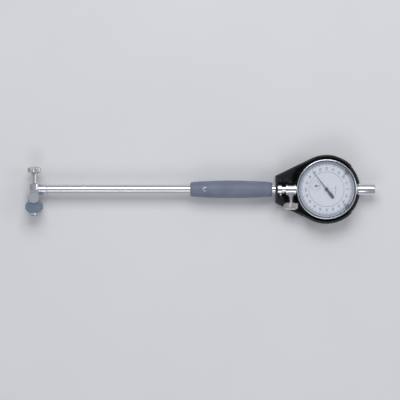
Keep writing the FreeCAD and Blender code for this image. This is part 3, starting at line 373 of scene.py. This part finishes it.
def rounded(section: Section, corners: dict[int, float], steps: int = 5) -> Section:
    """Round some corners of a section.

    Args:
        section: Pairs of distance along the axis and radius.
        corners: Index of a corner to its radius, in millimetres.
        steps: Straight pieces in each rounded corner.

    Returns:
        The section with an arc at each of those corners.
    """
    made: Section = []
    for index, point in enumerate(section):
        here = Vector(point)
        if index not in corners:
            made.append(point)
            continue
        before = (Vector(section[index - 1]) - here).normalized()
        after = (Vector(section[(index + 1) % len(section)]) - here).normalized()
        half = before.angle(after) / 2
        radius = corners[index]
        start = here + before * (radius / math.tan(half))
        end = here + after * (radius / math.tan(half))
        middle = here + (before + after).normalized() * (radius / math.sin(half))
        for step in range(steps + 1):
            spoke = (start - middle).lerp(end - middle, step / steps).normalized()
            spot = middle + spoke * radius
            made.append((spot.x, spot.y))
    return made


def crease_shading(data: bpy.types.Mesh) -> None:
    """Shade a mesh smooth, with its sharp edges kept."""
    data.polygons.foreach_set("use_smooth", [True] * len(data.polygons))
    data.set_sharp_from_angle(angle=SMOOTH_ANGLE)


@dataclass
class Workshop:
    """What every sub-assembly needs: the frame, the materials and where the gauge's axes are."""

    nodes: dict[str, bpy.types.Object]
    wardrobe: Wardrobe
    axis_z: float = 14.5 * MM
    head_x: float = -278.5 * MM
    clamp_x: float = -33.55 * MM
    made: list[str] = field(default_factory=list)

    def piece(
        self, name: str, mesh: bmesh.types.BMesh, finish: Finish, body: Body, replaced: tuple[str, ...] = ()
    ) -> bpy.types.Object:
        """Turn a mesh into a dressed piece that rides on a body.

        Args:
            name: Name of the piece.
            mesh: Its mesh, in place; it is freed.
            finish: Its finish.
            body: The body it rides on.
            replaced: The solids that it stands for.

        Returns:
            The new object.
        """
        data = bpy.data.meshes.new(name)
        mesh.to_mesh(data)
        mesh.free()
        crease_shading(data)
        obj = bpy.data.objects.new(name, data)
        bpy.context.scene.collection.objects.link(obj)
        self.wardrobe.dress(obj, finish)
        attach(obj, body.value)
        if replaced:
            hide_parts(*replaced)
        self.made.append(name)
        LOG.info("%s: %d faces", name, len(data.polygons))
        return obj

    def tube_axis(self) -> Vector:
        """Give the point of the tube's axis that is over the origin."""
        return Vector((0.0, 0.0, self.axis_z))

    def span(self, node: str, axis: int) -> tuple[float, float]:
        """Give the start and end of a node along one axis.

        Args:
            node: Name of the node.
            axis: 0, 1 or 2.

        Returns:
            Start and end, in millimetres.
        """
        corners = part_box(node)
        return corners[0][axis] / MM, corners[1][axis] / MM


# ------------------------------------------------------------------ sub-assemblies
@dataclass
class Knob:
    """A knurled knob on a plain shank, turned round the Y axis. Millimetres."""

    name: str
    node: str
    body: Body
    finish: Finish
    x: float
    start: float
    end: float
    outer: float
    shank_start: float
    shank_r: float
    ridges: int
    ridge_depth: float
    dome: float

    def build(self, shop: Workshop) -> None:
        """Build the knob with its knurl and shank.

        Args:
            shop: The workshop that dresses and places it.
        """
        outward = 1 if self.end > self.start else -1
        inner = self.outer - self.ridge_depth
        section = [
            (self.shank_start, 0.0),
            (self.shank_start, self.shank_r),
            (self.start, self.shank_r),
            (self.start, inner - 0.8),
            (self.start + outward * 0.7, inner),
            (self.end - outward * (self.dome + 0.5), inner),
            (self.end - outward * 0.2, inner - self.dome - 0.8),
            (self.end, inner - self.dome - 2.2),
            (self.end, 0.0),
        ]
        centre = Vector((self.x, 0.0, shop.axis_z))
        rims = {5: 0.6, 6: 0.5}
        knob = turned(rounded(section, rims, 4), centre, Axis.Y, self.ridges * 4)
        self.knurl(knob, centre, inner)
        shop.piece(self.name, knob, self.finish, self.body, (self.node,))

    def knurl(self, mesh: bmesh.types.BMesh, centre: Vector, inner: float) -> None:
        """Push the knob's rim out into ridges.

        Args:
            mesh: The turned knob.
            centre: A point on its axis.
            inner: Radius of the rim at the bottom of its grooves, in millimetres.
        """
        for vert in mesh.verts:
            offset = vert.co - centre
            offset.y = 0.0
            if offset.length < (inner - 0.9) * MM:
                continue
            turn = math.atan2(offset.z, offset.x)
            rise = 0.5 + 0.5 * math.cos(turn * self.ridges)
            share = min(1.0, max(0.0, (offset.length / MM - inner + 0.9) / 0.9))
            vert.co += offset.normalized() * (self.ridge_depth * rise * share * MM)


def anvil_knob(shop: Workshop) -> Knob:
    """Give the sizes of the knob on the anvil side."""
    return Knob(
        name="anvil_knob", node="anvil_screw", body=Body.ANVIL, finish=NICKEL, x=shop.head_x,
        start=15.5, end=21.7, outer=6.35, shank_start=2.4, shank_r=2.5, ridges=30, ridge_depth=0.35,
        dome=0.9,
    )


def thumb_knob(shop: Workshop) -> Knob:
    """Give the sizes of the thumb screw of the clamp."""
    return Knob(
        name="thumb_knob", node="clamp_screw", body=Body.CLAMP, finish=NICKEL, x=shop.clamp_x,
        start=-12.6, end=-19.6, outer=7.0, shank_start=-6.15, shank_r=2.1, ridges=26, ridge_depth=0.5,
        dome=0.8,
    )


@dataclass
class Handle:
    """The tube, its collar, the grip and the neck. Millimetres."""

    grip_start: float = -129.7
    grip_end: float = -51.5
    grip_face_r: float = 5.6
    grip_shoulder_r: float = 7.3
    grip_r: float = 8.4
    grip_round: float = 5.4
    tube_r: float = 4.4
    tube_bore_r: float = 3.3
    tube_end: float = -56.0
    tube_edge: float = 0.3
    collar_r: float = 4.9
    collar_bore_r: float = 3.5
    collar_edge: float = 0.4
    neck_r: float = 4.0
    neck_bore_r: float = 2.6
    stations: int = 14
    end_stations: int = 7
    plaque_x: float = -115.6
    plaque_r: float = 2.3
    plaque_sunk: float = 0.35
    plaque_t: float = 0.28
    plaque_edge: float = 0.12

    def grip_radius(self, x: float) -> float:
        """Give the grip's radius at x, in millimetres."""
        edge = min(x - self.grip_start, self.grip_end - x)
        half = (self.grip_end - self.grip_start) / 2
        if edge < self.grip_round:
            lean = 1 - (1 - edge / self.grip_round) ** 2
            return self.grip_face_r + (self.grip_shoulder_r - self.grip_face_r) * math.sqrt(lean)
        swell = math.sin(math.pi / 2 * (edge - self.grip_round) / (half - self.grip_round))
        return self.grip_shoulder_r + (self.grip_r - self.grip_shoulder_r) * swell

    def build(self, shop: Workshop) -> None:
        """Build the smooth pieces between the head and the indicator.

        Args:
            shop: The workshop that dresses and places them.
        """
        axis = shop.tube_axis()
        start, end = shop.span("stem_tube", 0)
        tube = [
            (start, self.tube_bore_r), (start, self.tube_r), (end, self.tube_r), (end, self.tube_bore_r),
        ]
        mesh = turned(rounded(tube, {1: self.tube_edge}), axis, Axis.X)
        shop.piece("tube_skin", mesh, SATIN, Body.FRAME, ("stem_tube",))
        start, end = shop.span("head_collar", 0)
        collar = [
            (start, self.collar_bore_r), (start, self.collar_r), (end, self.collar_r),
            (end, self.collar_bore_r),
        ]
        mesh = turned(rounded(collar, {1: self.collar_edge, 2: self.collar_edge}), axis, Axis.X)
        shop.piece("collar_ring", mesh, SATIN, Body.FRAME, ("head_collar",))
        shop.piece("barrel_grip", self.grip_mesh(axis), GRIP, Body.FRAME, ("handle_grip",))
        self.plaque(shop)
        start, end = shop.span("neck_tube", 0)
        neck = [
            (start, self.neck_bore_r), (start, self.tube_bore_r), (self.tube_end, self.tube_bore_r),
            (self.tube_end, self.neck_r), (end, self.neck_r), (end, self.neck_bore_r),
        ]
        shop.piece("neck_skin", turned(neck, axis, Axis.X), CHROME, Body.FRAME, ("neck_tube",))

    def grip_mesh(self, axis: Vector) -> bmesh.types.BMesh:
        """Build the barrel-shaped grip.

        Args:
            axis: A point on the tube's axis.

        Returns:
            The turned mesh.
        """
        lean = math.pi / 2 / self.end_stations
        early = [self.grip_round * (1 - math.cos(lean * step)) for step in range(self.end_stations + 1)]
        half = (self.grip_end - self.grip_start) / 2
        swell = (half - self.grip_round) / self.stations
        edges = early + [self.grip_round + swell * step for step in range(1, self.stations + 1)]
        xs = [self.grip_start + d for d in edges] + [self.grip_end - d for d in reversed(edges[:-1])]
        outline = [(x, self.grip_radius(x)) for x in xs]
        bore = [
            (self.grip_end, self.neck_r), (self.tube_end, self.neck_r), (self.tube_end, self.tube_r),
            (self.grip_start, self.tube_r),
        ]
        return turned(outline + bore, axis, Axis.X)

    def plaque(self, shop: Workshop) -> None:
        """Lay a small bare disc into the top of the grip.

        Args:
            shop: The workshop that dresses and places it.
        """
        top = shop.axis_z + (self.grip_radius(self.plaque_x) - self.plaque_sunk) * MM
        disc = [(0.0, 0.0), (0.0, self.plaque_r), (self.plaque_t, self.plaque_r), (self.plaque_t, 0.0)]
        centre = Vector((self.plaque_x * MM, 0.0, top))
        mesh = turned(rounded(disc, {2: self.plaque_edge}, 3), centre, Axis.Z, 48)
        shop.piece("grip_plaque", mesh, METAL, Body.FRAME)


@dataclass
class Head:
    """The sprung contact of the measuring head. Millimetres, from the tube's axis."""

    tip_r: float = 3.9
    dome: float = 2.6
    dome_start: float = -25.7
    back: float = -24.8
    back_r: float = 3.5
    back_edge: float = 0.4
    stem_end: float = -25.2
    stem_r: float = 1.25
    arc_steps: int = 10
    facets: int = 64

    def build(self, shop: Workshop) -> None:
        """Build the domed contact.

        Args:
            shop: The workshop that dresses and places it.
        """
        centre = Vector((shop.head_x, 0.0, shop.axis_z))
        ball = (self.tip_r**2 + self.dome**2) / (2 * self.dome)
        half = math.asin(self.tip_r / ball)
        middle = self.dome_start - self.dome + ball
        turns = [half * step / self.arc_steps for step in range(self.arc_steps, -1, -1)]
        arc = [(middle - ball * math.cos(turn), ball * math.sin(turn)) for turn in turns]
        section = [
            (self.stem_end, 0.0),
            (self.stem_end, self.stem_r),
            (self.back, self.stem_r),
            (self.back, self.back_r),
            (self.back - self.back_edge, self.tip_r),
        ]
        mesh = turned(section + arc, centre, Axis.Y, self.facets)
        shop.piece("contact_dome", mesh, SATIN, Body.CONTACT, ("contact_tip",))


@dataclass
class Dial:
    """The print on the face, the bezel and the window. Millimetres."""

    face_z: float = 21.8
    plate_z: float = 21.5
    print_t: float = 0.03
    tick_in: float = 23.0
    tick_mid: float = 22.6
    tick_out: float = 24.5
    number_r: float = 19.7
    number_size: float = 2.9
    divisions: int = 200
    numbers: int = 20
    bezel_r: float = 28.5
    bezel_bottom: float = 19.4
    bezel_top: float = 27.0
    bezel_hook_top: float = 19.9
    hook_r: float = 25.55
    bezel_bore_r: float = 26.2
    seat_r: float = 27.3
    seat_z: float = 24.6
    glass_r: float = 26.6
    glass_top: float = 26.0
    seal_top: float = 26.4
    shade_in: float = 24.75
    line_out: float = 24.72
    counter_x: float = -10.03
    counter_y: float = 3.3
    counter_r: float = 4.8
    counter_number_r: float = 3.2
    counter_number_size: float = 1.1
    counter_ticks: int = 20

    def build(self, shop: Workshop) -> None:
        """Build the bezel, the window, the ring of painted shade on the dial's rim and all the print.

        Args:
            shop: The workshop that dresses and places them.
        """
        middle = Vector((0.0, 0.0, 0.0))
        bezel = [
            (self.bezel_bottom, self.hook_r), (self.bezel_bottom, self.bezel_r),
            (self.bezel_top, self.bezel_r), (self.bezel_top, self.seat_r),
            (self.seat_z, self.seat_r), (self.seat_z, self.bezel_bore_r),
            (self.bezel_hook_top, self.bezel_bore_r), (self.bezel_hook_top, self.hook_r),
        ]
        mesh = turned(rounded(bezel, {1: 0.5, 2: 0.75, 3: 0.2}), middle, Axis.Z, 160)
        shop.piece("bezel_ring", mesh, CHROME, Body.BEZEL, ("bezel",))
        window = [
            (self.seat_z, 0.0), (self.seat_z, self.glass_r), (self.glass_top, self.glass_r),
            (self.glass_top, 0.0),
        ]
        mesh = turned(rounded(window, {2: 0.3}), middle, Axis.Z, 128)
        shop.piece("window_glass", mesh, WINDOW, Body.BEZEL, ("crystal",))
        # The seal's black ring also stands for the painted shade in the groove between the window and the
        # bezel.
        seal = [
            (self.seat_z, self.glass_r), (self.seal_top, self.glass_r), (self.seal_top, self.seat_r),
            (self.seat_z, self.seat_r),
        ]
        mesh = turned(rounded(seal, {1: 0.2, 2: 0.2}, 3), middle, Axis.Z, 128)
        shop.piece("window_seal_and_shade", mesh, SEAL_AND_SHADE, Body.BEZEL, ("crystal_gasket",))
        # Painted shade: the dial's rim between the scale and the bezel is printed darker, for the shade under
        # the window's edge.
        rim_shade_ring = self.printed_ring(middle, self.face_z, self.shade_in, self.bezel_bore_r, 128)
        shop.piece("rim_shade_ring", rim_shade_ring, RIM_SHADE, Body.BEZEL)
        rim_line = self.printed_ring(middle, self.face_z, self.tick_out, self.line_out, 128)
        shop.piece("rim_line", rim_line, INK, Body.BEZEL)
        shop.piece("scale_ticks", self.ticks(), INK, Body.BEZEL)
        self.numerals(shop)
        self.counter_scale(shop)

    def printed_ring(
        self, centre: Vector, z: float, inner: float, outer: float, facets: int
    ) -> bmesh.types.BMesh:
        """Build a thin printed ring.

        Args:
            centre: Its centre, in metres.
            z: Height of its underside.
            inner: Its inner radius.
            outer: Its outer radius.
            facets: Facets in a full turn.

        Returns:
            The turned mesh.
        """
        top = z + self.print_t
        return turned([(z, inner), (z, outer), (top, outer), (top, inner)], centre, Axis.Z, facets)

    def bar(
        self, mesh: bmesh.types.BMesh, turn: float, inner: float, outer: float, width: float, z: float
    ) -> None:
        """Add one radial bar of print.

        Args:
            mesh: The mesh it is added to.
            turn: Its direction, in radians.
            inner: Radius of its inner end.
            outer: Radius of its outer end.
            width: Its width.
            z: Height of its underside.
        """
        place = Matrix.Rotation(turn, 4, "Z") @ Matrix.Translation(
            Vector(((inner + outer) / 2, 0.0, z + self.print_t / 2)) * MM
        )
        size = Matrix.Diagonal(Vector((outer - inner, width, self.print_t, 1000.0)) * MM)
        bmesh.ops.create_cube(mesh, size=1.0, matrix=place @ size)

    def ticks(self) -> bmesh.types.BMesh:
        """Build the divisions of the outer scale.

        Returns:
            One mesh with all the bars.
        """
        mesh = bmesh.new()
        for index in range(self.divisions):
            inner, width = self.tick_in + 0.25, 0.16
            if index % 5 == 0:
                inner, width = self.tick_mid + 0.1, 0.22
            if index % 10 == 0:
                inner, width = self.tick_mid - 0.3, 0.3
            self.bar(mesh, FULL_TURN * index / self.divisions, inner, self.tick_out, width, self.face_z)
        return mesh

    def words(self, shop: Workshop, name: str, text: str, size: float, place: Matrix, body: Body) -> None:
        """Print a short generic word or number.

        Args:
            shop: The workshop that dresses and places it.
            name: Name of the piece.
            text: What it says.
            size: Height of a capital's line, in millimetres.
            place: Where it goes, in metres, after it is made a mesh.
            body: The body it rides on.
        """
        curve = bpy.data.curves.new(name, "FONT")
        curve.body = text
        curve.size = size * MM
        curve.align_x = "CENTER"
        curve.align_y = "CENTER"
        curve.extrude = self.print_t / 2 * MM
        holder = bpy.data.objects.new(name, curve)
        bpy.context.scene.collection.objects.link(holder)
        bpy.context.view_layer.update()
        data = bpy.data.meshes.new_from_object(holder)
        bpy.data.objects.remove(holder)
        mesh = bmesh.new()
        mesh.from_mesh(data)
        bpy.data.meshes.remove(data)
        bmesh.ops.transform(mesh, matrix=place, verts=mesh.verts[:])
        shop.piece(name, cleaned(mesh), INK, body)

    def numerals(self, shop: Workshop) -> None:
        """Print the balanced numbers, from 0 on the right to 100 on the left.

        Args:
            shop: The workshop that dresses and places them.
        """
        tops_right = Matrix.Rotation(-math.pi / 2, 4, "Z")
        lift = (self.face_z + self.print_t / 2) * MM
        for index in range(self.numbers):
            value = 10 * min(index, self.numbers - index)
            turn = FULL_TURN * index / self.numbers
            spot = Vector((math.cos(turn), math.sin(turn), 0.0)) * self.number_r * MM
            place = Matrix.Translation(spot + Vector((0.0, 0.0, lift))) @ tops_right
            self.words(shop, f"number_{index}", str(value), self.number_size, place, Body.BEZEL)

    def counter_scale(self, shop: Workshop) -> None:
        """Print the turn counter's small scale and the line that says the value of a division.

        Args:
            shop: The workshop that dresses and places them.
        """
        centre = Vector((self.counter_x, self.counter_y, 0.0)) * MM
        ring = self.printed_ring(centre, self.plate_z, 4.72, 4.82, 64)
        shop.piece("counter_ring", ring, INK, Body.FRAME)
        ticks = bmesh.new()
        for index in range(self.counter_ticks):
            inner = 4.05 if index % 2 == 0 else 4.35
            self.bar(ticks, FULL_TURN * index / self.counter_ticks, inner, self.counter_r, 0.12, self.plate_z)
        bmesh.ops.translate(ticks, verts=ticks.verts[:], vec=centre)
        shop.piece("counter_ticks", ticks, INK, Body.FRAME)
        tops_right = Matrix.Rotation(-math.pi / 2, 4, "Z")
        lift = (self.plate_z + self.print_t / 2) * MM
        for index in range(10):
            turn = FULL_TURN * index / 10
            spot = centre + Vector((math.cos(turn), math.sin(turn), 0.0)) * self.counter_number_r * MM
            place = Matrix.Translation(spot + Vector((0.0, 0.0, lift))) @ tops_right
            self.words(shop, f"count_{index}", str(index), self.counter_number_size, place, Body.FRAME)
        place = Matrix.Translation(Vector((8.6 * MM, -0.5 * MM, lift))) @ tops_right
        self.words(shop, "division_value", "0.001 mm", 1.8, place, Body.FRAME)


@dataclass
class Guard:
    """The moulded guard round the indicator. Millimetres."""

    edge: float = 0.7
    crease: float = math.radians(35)

    def build(self, shop: Workshop) -> None:
        """Round the moulded edges of the guard.

        Args:
            shop: The workshop that dresses and places it.
        """
        mesh = bmesh.new()
        mesh.from_mesh(shop.nodes["guard"].data)
        bmesh.ops.remove_doubles(mesh, verts=mesh.verts[:], dist=1e-6)
        bmesh.ops.dissolve_limit(
            mesh, angle_limit=math.radians(1), verts=mesh.verts[:], edges=mesh.edges[:]
        )
        sharp = [edge for edge in mesh.edges if edge.is_manifold and edge.calc_face_angle() > self.crease]
        bmesh.ops.bevel(
            mesh, geom=sharp, offset=self.edge * MM, segments=3, profile=0.5, affect="EDGES",
            material=-1, clamp_overlap=True,
        )
        shop.piece("guard_shell", mesh, BLACK, Body.FRAME, ("guard",))


@dataclass
class Cap:
    """The cap over the rear end of the spindle. Millimetres."""

    outer: float = 5.5
    spigot_r: float = 3.6
    spigot_t: float = 5.7
    bore_r: float = 2.6
    top_t: float = 2.0

    def build(self, shop: Workshop) -> None:
        """Build the smooth cap.

        Args:
            shop: The workshop that dresses and places it.
        """
        start, end = shop.span("spindle_cap", 0)
        step = start + self.spigot_t
        outline = [(step, self.spigot_r), (start, self.spigot_r), (start, self.outer), (end, self.outer)]
        inner = [(end, 0.0), (end - self.top_t, 0.0), (end - self.top_t, self.bore_r), (step, self.bore_r)]
        mesh = turned(rounded(outline + inner, {2: 0.5, 3: 0.8}), shop.tube_axis(), Axis.X)
        shop.piece("cap_shell", mesh, CHROME, Body.FRAME, ("spindle_cap",))


# ------------------------------------------------------------------ stage
@dataclass
class Studio:
    """Floor, lights, world and camera."""

    aim: tuple[float, float] = (-0.1204, -0.0102)
    distance: float = 2.4
    lens: float = 225.0
    floor_half: float = 3.0

    def build(self, wardrobe: Wardrobe) -> None:
        """Set the stage.

        Args:
            wardrobe: Gives the floor its finish.
        """
        scene = bpy.context.scene
        scene.view_settings.view_transform = "Standard"
        mesh = bmesh.new()
        bmesh.ops.create_grid(mesh, x_segments=2, y_segments=2, size=self.floor_half)
        bmesh.ops.translate(mesh, verts=mesh.verts[:], vec=Vector((0.0, 0.0, -0.0002)))
        data = bpy.data.meshes.new("floor")
        mesh.to_mesh(data)
        mesh.free()
        floor = bpy.data.objects.new("floor", data)
        scene.collection.objects.link(floor)
        wardrobe.dress(floor, FLOOR)
        self.lamp("key_lamp", (-0.15, 0.75, 1.25), (0.9, 0.7), 8.5, (0.95, 0.96, 1.0))
        self.lamp("fill_lamp", (-0.3, -0.9, 1.0), (0.8, 0.5), 2.2, (0.93, 0.95, 1.0))
        self.lamp("end_lamp", (0.9, 0.1, 0.9), (0.4, 0.6), 1.6, (1.0, 1.0, 1.0))
        self.sky()
        self.camera()

    def lamp(
        self, name: str, place: tuple[float, float, float], size: tuple[float, float], power: float,
        colour: tuple[float, float, float],
    ) -> None:
        """Hang a soft box that faces the gauge.

        Args:
            name: Name of the lamp.
            place: Where it hangs, in metres.
            size: Its width and height.
            power: Its power in watts.
            colour: Its colour.
        """
        light = bpy.data.lights.new(name, "AREA")
        light.shape = "RECTANGLE"
        light.size, light.size_y = size
        light.energy = power
        light.color = colour
        holder = bpy.data.objects.new(name, light)
        holder.location = place
        aim = Vector((self.aim[0], self.aim[1], 0.0)) - Vector(place)
        holder.rotation_euler = aim.to_track_quat("-Z", "Y").to_euler()
        bpy.context.scene.collection.objects.link(holder)

    def sky(self) -> None:
        """Light the scene softly from everywhere."""
        world = bpy.data.worlds.new("soft_room")
        world.use_nodes = True
        shade = world.node_tree.nodes["Background"]
        shade.inputs["Color"].default_value = (0.93, 0.95, 1.0, 1.0)
        shade.inputs["Strength"].default_value = 0.34
        bpy.context.scene.world = world

    def camera(self) -> None:
        """Look straight down at the gauge."""
        data = bpy.data.cameras.new("camera")
        data.lens = self.lens
        data.clip_end = 20.0
        holder = bpy.data.objects.new("camera", data)
        holder.location = (self.aim[0], self.aim[1], self.distance)
        bpy.context.scene.collection.objects.link(holder)
        bpy.context.scene.camera = holder


def main() -> None:
    """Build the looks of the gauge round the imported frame."""
    logging.basicConfig(level=logging.INFO, format="%(name)s %(message)s")
    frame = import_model()
    wardrobe = Wardrobe()
    Studio().build(wardrobe)
    wardrobe.dress_nodes(frame["nodes"])
    shop = Workshop(frame["nodes"], wardrobe)
    Head().build(shop)
    Handle().build(shop)
    anvil_knob(shop).build(shop)
    thumb_knob(shop).build(shop)
    Cap().build(shop)
    Guard().build(shop)
    Dial().build(shop)
    LOG.info("%d pieces made", len(shop.made))


if __name__ == "__main__":
    main()
